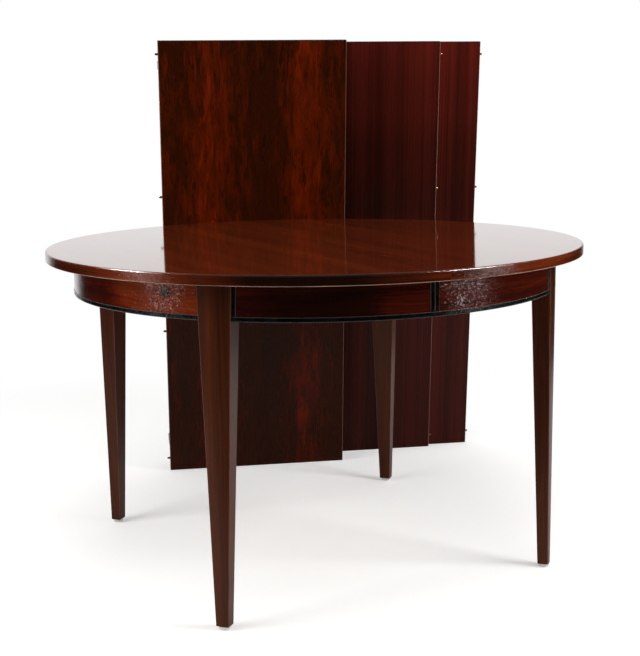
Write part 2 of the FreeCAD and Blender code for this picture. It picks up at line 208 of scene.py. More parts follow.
# rosewood veneer, sliced, stained and lacquered: dark red-brown with near-black ink lines,
# long streaks of lighter wood and open pores that break up a highlight
def rosewood(name, look):
    material, tree = startMaterial(name)
    if "turn" in look:
        grain = addNode(tree, "TexCoord", output="Object")
        grain = addNode(tree, "Mapping", {"Vector": grain, "Location": look["start"],
                        "Rotation": look["turn"]}, vector_type="TEXTURE")
    else:
        grain = addNode(tree, "TexCoord", output="UV")
    bent = grain
    for longMm, wideMm, swingMm in look["sway"]:
        swing = marks(tree, grain, (longMm, wideMm), 1.0).node.outputs["Color"]
        bent = addNode(tree, "VectorMath", [swing, (0.0, swingMm * mm, 0.0), bent], operation="MULTIPLY_ADD")
    bands = marks(tree, bent, look["bandMm"], 2.0)
    streaks = marks(tree, bent, look["streakMm"], 3.0)
    ink = marks(tree, bent, look["inkMm"], 2.0)
    pores = marks(tree, grain, look["poreMm"], 1.0)
    tone = addNode(tree, "Mix", {"Factor": look["streakShare"], "A": bands, "B": streaks}, data_type="FLOAT")
    if "figureAndPaintedLight" in look:
        tone = figureAndPaintedLightTone(tree, look, bent, tone)
    sunk = addNode(tree, "MapRange", [pores, *veneer["poreEdges"]], **smooth)
    normal = addNode(tree, "Bump", {"Strength": 1.0, "Distance": look["poreDeepMm"] * mm, "Height": sunk},
                     invert=True)
    for knot in look.get("knots", []):
        tone, normal = knotted(tree, knot, look["radiusMm"], grain, tone, normal)
    if "flakes" in look:
        spread = marks(tree, grain, look["flakes"]["spreadMm"], 2.0)
        spread = addNode(tree, "MapRange", [spread, *look["flakes"]["spread"]], **smooth)
        normal = crazed(tree, grain, look["flakes"], spread, normal)
    colour = addNode(tree, "ValToRGB", [tone], look["stops"])
    inkShade, poreShade = 1.0 - look["ink"], 1.0 - look["poreShade"]
    inked = addNode(tree, "MapRange", [ink, *veneer["inkEdges"], 1.0, inkShade], **smooth)
    pored = addNode(tree, "MapRange", [pores, *veneer["poreShadeEdges"], 1.0, poreShade], **smooth)
    shade = addNode(tree, "Math", [inked, pored], operation="MULTIPLY")
    base = addNode(tree, "VectorMath", {0: colour, "Scale": shade}, operation="SCALE")
    rough = addNode(tree, "MapRange", [streaks, *veneer["streakEdges"], *look["rough"]], **smooth)
    rubbedAndLit = []
    if "edgeMm" in look:
        rubbedAndLit.append(handledEdges(tree, look, grain))
        base = shadedLeafEnds(tree, look, grain, base)
    if "scuffMm" in look:
        rubbedAndLit += scuffs(tree, look, grain)
    # marked rounds take a lighter colour: partly rubbed finish, partly a painted highlight
    if "wearAndHighlight" in look:
        arrisMark = addNode(tree, "Attribute", attribute_name=look["wearAndHighlight"], output="Fac")
        patchy = addNode(tree, "MapRange", [streaks, *veneer["arrisPatchEdges"], *veneer["arrisPatchShare"]], **smooth)
        rubbedAndLit.append(addNode(tree, "Math", [arrisMark, patchy], operation="MULTIPLY"))
    for mask in rubbedAndLit:
        base = addNode(tree, "Mix", {"Factor": mask, "A": base, "B": linear(look["wearAndHighlightColour"])},
                       data_type="RGBA")
    shader = addNode(tree, "BsdfPrincipled", {"Base Color": base, "Roughness": rough, "Normal": normal,
                     "IOR": refraction, "Specular IOR Level": look["gloss"],
                     "Specular Tint": linear(look.get("sheenColour", "#ffffff"))})
    addNode(tree, "OutputMaterial", [shader])
    return material


# how each leaf stands, worked out from where its foot is and how it leans on the rim
leaves = {"lengthMm": 1200.0, "widthMm": 499.5, "thickMm": 21.0, "yaw": -15.9, "footMm": 679.4,
          "rimMm": 600.6, "rimHeightMm": 711.0, "left": {"leaf_1": -318.0, "leaf_2": -35.0, "leaf_3": 86.0},
          "behind": {"leaf_1": 0.0, "leaf_2": 97.5, "leaf_3": 119.5}, "showsFace": ("leaf_1",),
          "roundMm": 4.0, "underMm": 1.5}


def leafFrame(name):
    lean = math.atan2(leaves["footMm"] - leaves["rimMm"], leaves["rimHeightMm"])
    c, s = math.cos(lean), math.sin(lean)
    across = bearing(leaves["yaw"])
    away = Vector((-across.y, across.x, 0.0))
    up = upright * c - away * s
    out = away * c + upright * s
    faced = name in leaves["showsFace"]
    low = leaves["roundMm"] if faced else leaves["underMm"]
    centre = away * (leaves["footMm"] + leaves["behind"][name] / c)
    centre += across * (leaves["left"][name] + leaves["widthMm"] / 2) + up * (leaves["lengthMm"] / 2)
    centre -= upright * (low * (c + s - 1))
    side, face = (across, -out) if faced else (-across, out)
    if not faced:
        centre += out * leaves["thickMm"]
    place = Matrix((side, up, face)).transposed().to_4x4()
    place.translation = tableCentre + centre * mm
    return place


leafPlace = {name: leafFrame(name) for name in leaves["left"]}


# where a leaf's grain starts: its long edge, moved along the face's normal so that no two leaves match
def leafGrain(name, deepMm, turned):
    corner = leafPlace[name] @ Vector((-leaves["widthMm"] / 2 * mm, 0.0, deepMm * mm))
    turn = leafPlace[name].to_3x3() @ Matrix.Rotation(math.pi / 2 if turned else 0.0, 3, "Z")
    return {"start": tuple(corner), "turn": tuple(turn.to_euler()), "deepMm": deepMm,
            "sheetMm": leaves["widthMm"], "thickMm": leaves["thickMm"], "lengthMm": leaves["lengthMm"]}


# patterns are sized as length and width in mm, sway as length, width and swing;
# the stops of a figure and of its painted light and shade run along its span, which is once round from the
# table's front where the sheet is curved
topLook = {"start": tuple(tableCentre), "turn": (0.0, 0.0, math.pi / 2), "sway": [(700, 90, 30)],
           "bandMm": (1800, 60), "streakMm": (420, 6), "inkMm": (900, 4), "poreMm": (14, 1.6),
           "streakShare": 0.4,
           "stops": [(0.28, "#42170a"), (0.5, "#521e0d"), (0.72, "#632711")],
           "scuffMm": (24, 1.6), "wearAndHighlightColour": "#7c4a36",
           "ink": 0.12, "poreShade": 0.1, "rough": (0.045, 0.075), "poreDeepMm": 0.004, "gloss": 0.5}
lippingLook = {"sway": [(300, 60, 8)], "bandMm": (500, 30), "streakMm": (160, 4), "inkMm": (300, 3),
               "poreMm": (5, 1.5), "streakShare": 0.5, "contrast": 0.8,
               # painted light: round the table the lipping is lighter where the side lamps fall and darker at
               # the front between them
               "figureAndPaintedLight": [{"axis": "X", "spanMm": 2 * math.pi * 600.0, "shift": 0.25,
                           "stops": [(0.0, 0.5), (0.02, 0.54), (0.045, 0.66), (0.07, 0.64), (0.12, 0.52),
                                     (0.72, 0.5), (0.755, 0.43), (0.785, 0.45), (0.835, 0.7), (0.875, 0.43),
                                     (0.905, 0.21), (0.94, 0.23), (0.975, 0.4), (1.0, 0.5)]}],
               "stops": [(0.25, "#1a0802"), (0.45, "#3f1404"), (0.6, "#5c210a"), (0.85, "#7e3614")],
               "ink": 0.3, "poreShade": 0.3, "rough": (0.12, 0.18), "poreDeepMm": 0.05, "gloss": 0.5,
               "flakes": {"sizeMm": (1.6, 1.0), "spreadMm": (8.0, 8.0), "spread": (0.3, 0.6), "rare": 3.0,
                          "lift": (0.3, 0.3, 0.34)},
               "wearAndHighlight": "wearAndHighlight", "wearAndHighlightColour": "#b08a74"}
apronLook = {"sway": [(220, 40, 24), (60, 16, 10)], "bandMm": (420, 26), "streakMm": (150, 4),
             "inkMm": (200, 5), "poreMm": (7, 2.0), "streakShare": 0.45, "radiusMm": 540.0, "contrast": 0.9,
             # painted light: round the table the apron is lighter where the side lamps fall and darker at the
             # front between them
             "figureAndPaintedLight": [{"axis": "X", "spanMm": 2 * math.pi * 540.0, "shift": 0.25,
                         "stops": [(0.0, 0.46), (0.03, 0.48), (0.06, 0.42), (0.12, 0.46), (0.75, 0.4),
                                   (0.785, 0.41), (0.81, 0.66), (0.865, 0.72), (0.885, 0.36), (0.915, 0.26),
                                   (0.955, 0.24), (0.975, 0.43), (1.0, 0.44)]},
                        # painted light: the apron is lighter towards its top edge, against the shade under
                        # the top's overhang
                        {"axis": "Y", "spanMm": 66.0, "shift": -628.0 / 66.0,
                         "stops": [(0.0, 0.0), (0.3, 0.02), (1.0, 0.08)]}],
             "knots": [{"degrees": 212.9, "heightMm": 668.0, "wideMm": 62.0, "tallMm": 46.0, "feathers": 3.0,
                        "rings": 7.0, "swirl": 1.0, "eye": 0.45,
                        "flakes": {"sizeMm": (240.0, 420.0), "rare": 7.0, "lift": (0.42, 0.42, 0.36)}},
                       {"degrees": -84.2, "heightMm": 674.0, "wideMm": 78.0, "tallMm": 52.0, "feathers": 3.0,
                        "rings": 6.0, "swirl": 0.3, "eye": 0.0,
                        "flakes": {"sizeMm": (240.0, 600.0), "rare": 5.0, "lift": (0.44, 0.44, 0.28)}}],
             "stops": [(0.2, "#120401"), (0.42, "#330a02"), (0.6, "#5c1906"), (0.9, "#8a3812")],
             "ink": 0.3, "poreShade": 0.25, "rough": (0.14, 0.2), "poreDeepMm": 0.06, "gloss": 0.4,
             "flakes": {"sizeMm": (2.0, 1.6), "spreadMm": (8.0, 8.0), "spread": (0.4, 0.7), "rare": 6.0,
                        "lift": (0.4, 0.4, 0.34)}}
legLook = {"start": tuple(tableCentre), "turn": (0.0, -math.pi / 2, 0.0), "sway": [(500, 60, 14)],
           "bandMm": (900, 24), "streakMm": (260, 3.5), "inkMm": (500, 4), "poreMm": (12, 1.6),
           "streakShare": 0.5,
           "stops": [(0.28, "#2b1005"), (0.5, "#3e1909"), (0.72, "#51220d")],
           "ink": 0.25, "poreShade": 0.25, "rough": (0.28, 0.36), "poreDeepMm": 0.03,
           "gloss": 0.23, "sheenColour": "#ffe0cc", "wearAndHighlight": "wearAndHighlight", "wearAndHighlightColour": "#6a4436"}
faceLeafLook = {"sway": [(420, 120, 60), (70, 14, 34), (24, 5, 9)], "bandMm": (130, 20), "streakMm": (70, 5),
                "inkMm": (160, 5), "poreMm": (14, 1.5), "streakShare": 0.45, "edgeMm": 1.6, "contrast": 1.5,
                "figureAndPaintedLight": [{"axis": "Y", "spanMm": -leaves["widthMm"], "shift": 0.103,
                            "stops": [(0.0, 0.36), (0.10, 0.31), (0.18, 0.38), (0.25, 0.48), (0.33, 0.4),
                                      (0.45, 0.31), (0.58, 0.24), (0.66, 0.33), (0.75, 0.46), (0.84, 0.43),
                                      (0.92, 0.33), (1.0, 0.33)]},
                           # painted shade: the leaf is darker low down, below the table, where the table
                           # shades it
                           {"axis": "X", "spanMm": leaves["lengthMm"], "shift": 0.5,
                            "stops": [(0.0, 0.03), (0.42, 0.02), (0.6, 0.09), (1.0, 0.09)]}],
                "stops": [(0.22, "#260d03"), (0.40, "#2e0e01"), (0.58, "#521501"), (0.8, "#761f02"),
                          (1.0, "#8e2c08")],
                "ink": 0.3, "poreShade": 0.2, "rough": (0.24, 0.34), "poreDeepMm": 0.01, "gloss": 0.1,
                "wearAndHighlightColour": "#7a5348", "endMm": 3.0, "endColour": "#140a06"}
backLeafLook = {"sway": [(1500, 120, 10)], "bandMm": (5000, 44), "streakMm": (1800, 9), "inkMm": (2500, 9),
                "poreMm": (16, 1.4), "streakShare": 0.35, "edgeMm": 1.6, "contrast": 1.4,
                # painted shade: darkest just above the table's top, where the table shades the leaf, and
                # lighter towards the top end
                "figureAndPaintedLight": [{"axis": "X", "spanMm": leaves["lengthMm"], "shift": 0.5,
                            "stops": [(0.0, 0.26), (0.5, 0.24), (0.62, 0.19), (0.74, 0.24), (0.86, 0.34),
                                      (1.0, 0.42)]},
                           {"axis": "Y", "spanMm": -leaves["widthMm"], "shift": 0.0,
                            "stops": [(0.0, 0.13), (0.25, 0.13), (0.33, 0.05), (0.45, 0.03), (0.52, 0.06),
                                      (0.7, 0.1), (1.0, 0.1)]}],
                "stops": [(0.2, "#1c0703"), (0.3, "#2a0b05"), (0.46, "#40110a"), (0.56, "#4b150d"),
                          (0.72, "#601b12")],
                "ink": 0.35, "poreShade": 0.2, "rough": (0.24, 0.34), "poreDeepMm": 0.01, "gloss": 0.1,
                "wearAndHighlightColour": "#8a6358", "endMm": 2.0, "endColour": "#140a06"}
leafApronLook = {"sway": [(300, 60, 8)], "bandMm": (500, 30), "streakMm": (160, 4), "inkMm": (300, 3),
                 "poreMm": (8, 2.0), "streakShare": 0.5,
                 "stops": [(0.3, "#1c0a05"), (0.5, "#2c1109"), (0.72, "#3f1a0e")],
                 "ink": 0.3, "poreShade": 0.3, "rough": (0.22, 0.3), "poreDeepMm": 0.03, "gloss": 0.3}

rosewoodTop = rosewood("rosewoodTopLacquer", topLook)
rosewoodLipping = rosewood("rosewoodLippingLacquer", lippingLook)
rosewoodApron = rosewood("rosewoodApronLacquer", apronLook)
rosewoodLeg = rosewood("rosewoodLegSatin", legLook)
leafFinish = {}
for leaf, finish, look, deepMm in (("leaf_1", "rosewoodFlamedLeaf", faceLeafLook, 0.0),
                                   ("leaf_2", "rosewoodStripedLeaf", backLeafLook, 700.0),
                                   ("leaf_3", "rosewoodStripedLeafBehind", backLeafLook, 1500.0)):
    leafFinish[leaf] = rosewood(finish, {**look, **leafGrain(leaf, deepMm, True)})
leafApron = rosewood("rosewoodLeafApron", {**leafApronLook, **leafGrain("leaf_1", 200.0, False)})
print("rosewood materials made")

cloudEdges = (0.3, 0.7)
ebony = {"poreMm": (2.6, 2.6), "poreDeepMm": 0.1, "cloudMm": (30.0, 30.0), "rough": (0.22, 0.34),
         "stops": [(0.35, "#040404"), (0.7, "#0c0c0d")], "wearAndHighlightColour": "#6b6058"}


# ebonised beech: stained black under brushed lacquer, with open pores; the marked arrises get a lighter grey,
# partly rubbed finish and partly a painted highlight
def makeEbonised(name, gloss, flakes):
    material, tree = startMaterial(name)
    grain = addNode(tree, "TexCoord", output="Object")
    pores = marks(tree, grain, ebony["poreMm"], 2.0)
    cloud = marks(tree, grain, ebony["cloudMm"], 2.0)
    stain = addNode(tree, "ValToRGB", [cloud], ebony["stops"])
    # marked rounds take a lighter grey: partly rubbed finish, partly a painted highlight
    arrisMark = addNode(tree, "Attribute", attribute_name="wearAndHighlight", output="Fac")
    base = addNode(tree, "Mix", {"Factor": arrisMark, "A": stain, "B": linear(ebony["wearAndHighlightColour"])},
                   data_type="RGBA")
    rough = addNode(tree, "MapRange", [cloud, *cloudEdges, *ebony["rough"]])
    bump = addNode(tree, "Bump", {"Strength": 1.0, "Distance": ebony["poreDeepMm"] * mm, "Height": pores})
    normal = crazed(tree, grain, flakes, cloud, bump)
    shader = addNode(tree, "BsdfPrincipled", {"Base Color": base, "Roughness": rough, "Normal": normal,
                     "IOR": refraction, "Specular IOR Level": gloss})
    addNode(tree, "OutputMaterial", [shader])
    return material


planed = {"bandMm": (400.0, 14.0), "stops": [(0.3, "#a97c50"), (0.5, "#c39a6b"), (0.7, "#d3b083")],
          "rough": (0.48, 0.62), "fleckMm": (6.0, 0.9), "fleckEdges": (0.6, 0.68), "fleckShade": (1.0, 0.72),
          "fleckDeepMm": 0.05, "fleckBump": 0.6}


# beech, planed and left plain: even pale wood with short darker flecks along the grain
def makeBeech():
    material, tree = startMaterial("planedBeech")
    grain = addNode(tree, "TexCoord", output="Object")
    bands = marks(tree, grain, planed["bandMm"], 3.0)
    flecks = marks(tree, grain, planed["fleckMm"], 1.0)
    wood = addNode(tree, "ValToRGB", [bands], planed["stops"])
    shade = addNode(tree, "MapRange", [flecks, *planed["fleckEdges"], *planed["fleckShade"]])
    base = addNode(tree, "VectorMath", {0: wood, "Scale": shade}, operation="SCALE")
    rough = addNode(tree, "MapRange", [bands, *cloudEdges, *planed["rough"]])
    bump = addNode(tree, "Bump", {"Strength": planed["fleckBump"], "Distance": planed["fleckDeepMm"] * mm,
                   "Height": flecks})
    shader = addNode(tree, "BsdfPrincipled", {"Base Color": base, "Roughness": rough, "Normal": bump,
                     "IOR": refraction})
    addNode(tree, "OutputMaterial", [shader])
    return material


# brass is dulled in warm clouds, steel has the cool grey bloom of zinc, and nylon is milky and half matt
tooled = {"bump": 0.5, "deepMm": 0.03,
          "turnedBrass": {"stops": [(0.35, "#806433"), (0.65, "#a88c54")], "metallic": 1.0,
                          "rough": (0.22, 0.38), "cloudMm": (3.0, 3.0), "toolMm": (0.5, 0.5)},
          "zincPlatedSteel": {"stops": [(0.35, "#a4a7aa"), (0.65, "#c2c5c7")], "metallic": 1.0,
                              "rough": (0.28, 0.42), "cloudMm": (4.0, 4.0), "toolMm": (0.6, 0.6)},
          "mouldedNylon": {"stops": [(0.35, "#dcdbd5"), (0.65, "#eeede8")], "metallic": 0.0,
                           "rough": (0.4, 0.55), "cloudMm": (5.0, 5.0), "toolMm": (0.8, 0.8)}}


# a turned or moulded part with cloudy wear: two colours, two roughnesses and a fine tooled surface
def makeWorn(name):
    look = tooled[name]
    material, tree = startMaterial(name)
    place = addNode(tree, "TexCoord", output="Object")
    cloud = marks(tree, place, look["cloudMm"], 3.0)
    tool = marks(tree, place, look["toolMm"], 2.0)
    base = addNode(tree, "ValToRGB", [cloud], look["stops"])
    rough = addNode(tree, "MapRange", [cloud, *cloudEdges, *look["rough"]])
    bump = addNode(tree, "Bump", {"Strength": tooled["bump"], "Distance": tooled["deepMm"] * mm,
                   "Height": tool})
    shader = addNode(tree, "BsdfPrincipled", {"Base Color": base, "Roughness": rough, "Normal": bump,
                     "Metallic": look["metallic"]})
    addNode(tree, "OutputMaterial", [shader])
    return material


beadFlakes = {"sizeMm": (2.8, 2.4), "rare": 3.5, "lift": (0.5, 0.5, 0.6)}
stripFlakes = {"sizeMm": (1.8, 1.8), "rare": 6.0, "lift": (0.1, 0.1, 0.1)}
ebonised = makeEbonised("ebonisedBeadCrazed", 0.26, beadFlakes)
ebonisedStrip = makeEbonised("ebonisedStripSmooth", 0.1, stripFlakes)
beech = makeBeech()
brass = makeWorn("turnedBrass")
zincedSteel = makeWorn("zincPlatedSteel")
nylon = makeWorn("mouldedNylon")
print("edging, beech, metal and nylon made")

cameraLook = {"placeMm": (-1195.04, -2575.52, 1006.88), "yaw": 25.0973, "pitch": 9.8354, "roll": -0.7983,
              "focalPixels": 1251.66, "imagePixels": 640, "sensorMm": 36.0, "clipEnd": 100.0}


def makeCamera():
    data = bpy.data.cameras.new("studioCamera")
    data.sensor_fit = "HORIZONTAL"
    data.sensor_width = cameraLook["sensorMm"]
    data.lens = cameraLook["focalPixels"] / cameraLook["imagePixels"] * cameraLook["sensorMm"]
    data.clip_end = cameraLook["clipEnd"]
    camera = bpy.data.objects.new("studioCamera", data)
    scene.collection.objects.link(camera)
    turn = Matrix.Rotation(-math.radians(cameraLook["yaw"]), 4, "Z")
    turn @= Matrix.Rotation(math.radians(90.0 - cameraLook["pitch"]), 4, "X")
    turn @= Matrix.Rotation(math.radians(cameraLook["roll"]), 4, "Z")
    camera.matrix_world = Matrix.Translation(tableCentre + Vector(cameraLook["placeMm"]) * mm) @ turn
    scene.camera = camera


# sizes in metres
floorLook = {"radius": 2.2, "segments": 96, "centre": (0.1, 0.0, -0.0003), "colour": "#f0f0ef", "lift": 0.28,
             "fadeEdges": (1.55, 2.15), "darkEdges": (-0.65, -1.05), "darkColour": (0.02, 0.02, 0.02, 1.0)}


# pale paper that takes the soft shadows and fades into the white behind it
def makeFloor():
    material, tree = startMaterial("pale_studio_paper")
    place = addNode(tree, "TexCoord", output="Object")
    path = addNode(tree, "LightPath").node.outputs
    seen = path["Is Camera Ray"]
    far = addNode(tree, "VectorMath", [place, floorLook["centre"]], operation="DISTANCE")
    fade = addNode(tree, "MapRange", [far, *floorLook["fadeEdges"]], **smooth)
    # polished wood reflects the dark room in front, where the paper ends
    ahead = addNode(tree, "SeparateXYZ", [place], output="Y")
    front = addNode(tree, "MapRange", [ahead, *floorLook["darkEdges"]], **smooth)
    dark = addNode(tree, "Math", [front, path["Is Glossy Ray"]], operation="MULTIPLY")
    tint = addNode(tree, "Mix", {"Factor": dark, "A": linear(floorLook["colour"]),
                   "B": floorLook["darkColour"]}, data_type="RGBA")
    paper = addNode(tree, "BsdfDiffuse", [tint])
    lift = addNode(tree, "Math", [seen, floorLook["lift"]], operation="MULTIPLY")
    glow = addNode(tree, "Emission", {"Strength": lift})
    lit = addNode(tree, "AddShader", [paper, glow])
    white = addNode(tree, "Emission", {"Strength": 1.0})
    edge = addNode(tree, "Math", [fade, seen], operation="MULTIPLY")
    both = addNode(tree, "MixShader", [edge, lit, white])
    # seen from below, the paper is left out, so that the underside shows
    under = addNode(tree, "NewGeometry", output="Backfacing")
    clear = addNode(tree, "BsdfTransparent")
    sheet = addNode(tree, "MixShader", [under, both, clear])
    addNode(tree, "OutputMaterial", [sheet])
    bm = bmesh.new()
    bmesh.ops.create_circle(bm, cap_ends=True, segments=floorLook["segments"], radius=floorLook["radius"])
    bmesh.ops.translate(bm, vec=floorLook["centre"], verts=bm.verts[:])
    mesh = bpy.data.meshes.new("studio_floor")
    bm.to_mesh(mesh)
    bm.free()
    mesh.materials.append(material)
    floor = bpy.data.objects.new("studio_floor", mesh)
    scene.collection.objects.link(floor)


# angles in degrees, ceiling and facing as parts of a ray's direction; each pair runs from none to full
room = {"backAzimuth": 72.0, "backEdges": (34.0, 22.0),
        "ceilingEdges": (0.2, 0.85), "facingEdges": (0.0, 0.2),
        "backGloss": 1.18, "ceilingGloss": 0.2, "restGloss": 0.012,
        "backDiffuse": 0.5, "ceilingDiffuse": 0.45, "restDiffuse": 0.22,
        "softboxes": [
            {"azimuth": 171.5, "edges": (11.0, 6.0), "low": (-6, 2), "high": (9, 6), "gloss": 6.0},
            {"azimuth": 139.0, "edges": (12.0, 6.0), "low": (37, 40), "high": (48, 45), "gloss": 110.0},
            {"azimuth": 321.0, "edges": (12.0, 6.0), "low": (-6, 2), "high": (9, 6), "gloss": 7.5},
            {"azimuth": 328.0, "edges": (16.0, 8.0), "low": (37, 40), "high": (48, 45), "gloss": 110.0}]}


# camera rays see plain white; reflections see a bright backdrop behind the table and a dim room in front
def makeWorld():
    world = bpy.data.worlds.new("studioWorld")
    scene.world = world
    world.use_nodes = True
    tree = world.node_tree
    tree.nodes.clear()
    ray = addNode(tree, "TexCoord", output="Generated")
    height = addNode(tree, "SeparateXYZ", [ray], output="Z")
    path = addNode(tree, "LightPath").node.outputs
    ahead = addNode(tree, "VectorMath", [ray, bearing(room["backAzimuth"])], operation="DOT_PRODUCT")
    outer, inner = [math.cos(math.radians(a)) for a in room["backEdges"]]
    back = addNode(tree, "MapRange", [ahead, outer, inner], **smooth)
    ceiling = addNode(tree, "MapRange", [height, *room["ceilingEdges"]], **smooth)
    levels = {}
    for kind in ("Gloss", "Diffuse"):
        over = addNode(tree, "Math", [ceiling, room["ceiling" + kind], room["rest" + kind]],
                       operation="MULTIPLY_ADD")
        levels[kind] = addNode(tree, "Math", [back, room["back" + kind], over], operation="MULTIPLY_ADD")
    # two softboxes as polished wood shows them, each a dim patch low down and a bright one above
    for softbox in room["softboxes"]:
        toward = bearing(softbox["azimuth"])
        aside = addNode(tree, "VectorMath", [ray, upright.cross(toward)], operation="DOT_PRODUCT")
        aside = addNode(tree, "Math", [aside], operation="ABSOLUTE")
        facing = addNode(tree, "VectorMath", [ray, toward], operation="DOT_PRODUCT")
        level = addNode(tree, "MapRange", [facing, *room["facingEdges"], 0.0, softbox["gloss"]])
        for value, limit in ((aside, "edges"), (height, "low"), (height, "high")):
            none, full = [math.sin(math.radians(d)) for d in softbox[limit]]
            share = addNode(tree, "MapRange", [value, none, full], **smooth)
            level = addNode(tree, "Math", [share, level], operation="MULTIPLY")
        levels["Gloss"] = addNode(tree, "Math", [levels["Gloss"], level], operation="ADD")
    mirrored = addNode(tree, "Math", [path["Is Glossy Ray"], path["Is Transmission Ray"]],
                       operation="MAXIMUM")
    light = addNode(tree, "Mix", {"Factor": mirrored, "A": levels["Diffuse"], "B": levels["Gloss"]},
                    data_type="FLOAT")
    light = addNode(tree, "Mix", {"Factor": path["Is Camera Ray"], "A": light, "B": 1.0}, data_type="FLOAT")
    sky = addNode(tree, "Background", [linear("#ffffff"), light])
    addNode(tree, "OutputWorld", [sky])


# distances and sizes in metres
lampAim = 0.7
lamps = {"softboxLeft": {"azimuth": 179, "away": 2.4, "height": 1.75, "wide": 1.4, "tall": 0.9, "watts": 34},
         "softboxRight": {"azimuth": 315, "away": 2.4, "height": 1.75, "wide": 1.0, "tall": 0.9, "watts": 40},
         "softboxOver": {"azimuth": 245, "away": 0.5, "height": 3.2, "wide": 2.2, "tall": 2.2, "watts": 28}}


def makeLamps():
    target = tableCentre + upright * lampAim
    for name, lamp in lamps.items():
        data = bpy.data.lights.new(name, "AREA")
        data.shape = "RECTANGLE"
        data.size = lamp["wide"]
        data.size_y = lamp["tall"]
        data.energy = lamp["watts"]
        obj = bpy.data.objects.new(name, data)
        scene.collection.objects.link(obj)
        place = tableCentre + bearing(lamp["azimuth"]) * lamp["away"] + upright * lamp["height"]
        obj.location = place
        obj.rotation_euler = (target - place).to_track_quat("-Z", "Y").to_euler()
        obj.visible_camera = False
        obj.visible_glossy = False  # the world carries their reflections


makeCamera()
makeFloor()
makeWorld()
makeLamps()
scene.view_settings.view_transform = "Standard"
print("studio ready")

# the pieces below are swept, tapered and trimmed to the sizes of the solids that they stand for
shading = {"sharpDegrees": 32.0, "arrisDegrees": 60.0, "levelFace": 0.7, "topFace": 0.9999, "nearRound": 0.9}
rounding = {"offset_type": "OFFSET", "profile": 0.5, "material": -1}
square = [0, 0, 0, 0]


# moves a piece from the origin to the table's place, shades it and hands it to its body
def placePiece(bm, name, body, replaced, finishes):
    bmesh.ops.translate(bm, vec=tableCentre, verts=bm.verts[:])
    for face in bm.faces:
        face.smooth = True
    for edge in bm.edges:
        if len(edge.link_faces) == 2 and edge.calc_face_angle() > math.radians(shading["sharpDegrees"]):
            edge.smooth = False
    mesh = bpy.data.meshes.new(name)
    bm.to_mesh(mesh)
    bm.free()
    for finish in finishes:
        mesh.materials.append(finish)
    piece = bpy.data.objects.new(name, mesh)
    scene.collection.objects.link(piece)
    even = piece.modifiers.new("evenShading", "WEIGHTED_NORMAL")
    even.keep_sharp = True
    even.weight = 100
    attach(piece, body)
    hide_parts(*replaced)


def closeUp(bm):
    bmesh.ops.remove_doubles(bm, verts=bm.verts[:], dist=1e-6)
    rims = [edge for edge in bm.edges if len(edge.link_faces) < 2]
    if rims:
        bmesh.ops.holes_fill(bm, edges=rims, sides=0)
    bmesh.ops.recalc_face_normals(bm, faces=bm.faces[:])


def turnPiece(bm, degrees):
    turn = Matrix.Rotation(math.radians(degrees), 3, "Z")
    bmesh.ops.rotate(bm, verts=bm.verts[:], cent=(0.0, 0.0, 0.0), matrix=turn)


# a section beside the table's axis, its chosen corners rounded, swept round that axis
def sweepSection(corners, rounds, fromDegrees, toDegrees, steps):
    bm = bmesh.new()
    verts = [bm.verts.new((x * mm, 0.0, z * mm)) for x, z in corners]
    bm.faces.new(verts)
    for vert, size in zip(verts, rounds):
        if size:
            bmesh.ops.bevel(bm, geom=[vert], offset=size * mm, affect="VERTICES", segments=6, **rounding)
    turnPiece(bm, fromDegrees)
    bmesh.ops.spin(bm, geom=bm.verts[:] + bm.edges[:] + bm.faces[:], cent=(0.0, 0.0, 0.0), axis=upright,
                   angle=math.radians(toDegrees - fromDegrees), steps=steps, use_merge=False)
    closeUp(bm)
    return bm


# cuts away what lies on the normal's side of a plane and closes the cut
def trim(bm, point, normal):
    bmesh.ops.bisect_plane(bm, geom=bm.verts[:] + bm.edges[:] + bm.faces[:], dist=1e-7, plane_co=point,
                           plane_no=normal, clear_outer=True)
    closeUp(bm)


# rounds the tall sharp edges beyond a radius, and marks the middle of the rounds for a lighter colour, partly
# rubbed finish and partly a painted highlight
def roundArrises(bm, beyondMm, tallMm, roundMm, segments):
    arrises = [e for e in bm.edges if abs(e.verts[0].co.z - e.verts[1].co.z) > tallMm * mm
               and e.verts[0].co.xy.length > beyondMm * mm
               and e.calc_face_angle(0.0) > math.radians(shading["arrisDegrees"])]
    rounded = bmesh.ops.bevel(bm, geom=arrises, offset=roundMm * mm, affect="EDGES", segments=segments,
                              **rounding)
    bm.normal_update()
    layer = bm.verts.layers.float.new("wearAndHighlight")
    rounds = set(rounded["faces"])
    for vert in bm.verts:
        sides = [face for face in vert.link_faces if abs(face.normal.z) < shading["levelFace"]]
        vert[layer] = 1.0 if sides and all(face in rounds for face in sides) else 0.0


# marks the middle of one rounded edge that runs round the table for a lighter colour, partly rubbed finish
# and partly a painted highlight
def markArrisWearAndHighlight(bm, outerMm, heightMm, roundMm, rubbedAndLit):
    layer = bm.verts.layers.float.new("wearAndHighlight")
    reach = roundMm * shading["nearRound"]
    for vert in bm.verts:
        near = abs(vert.co.z - heightMm * mm) < reach * mm
        vert[layer] = rubbedAndLit if near and vert.co.xy.length > (outerMm - reach) * mm else 0.0


def flipFrontBack(bm):
    bmesh.ops.scale(bm, vec=(1.0, -1.0, 1.0), verts=bm.verts[:])
    bmesh.ops.recalc_face_normals(bm, faces=bm.faces[:])


def gather(parts):
    whole = bmesh.new()
    for part in parts:
        mesh = bpy.data.meshes.new("part")
        part.to_mesh(mesh)
        part.free()
        whole.from_mesh(mesh)
        bpy.data.meshes.remove(mesh)
    return whole


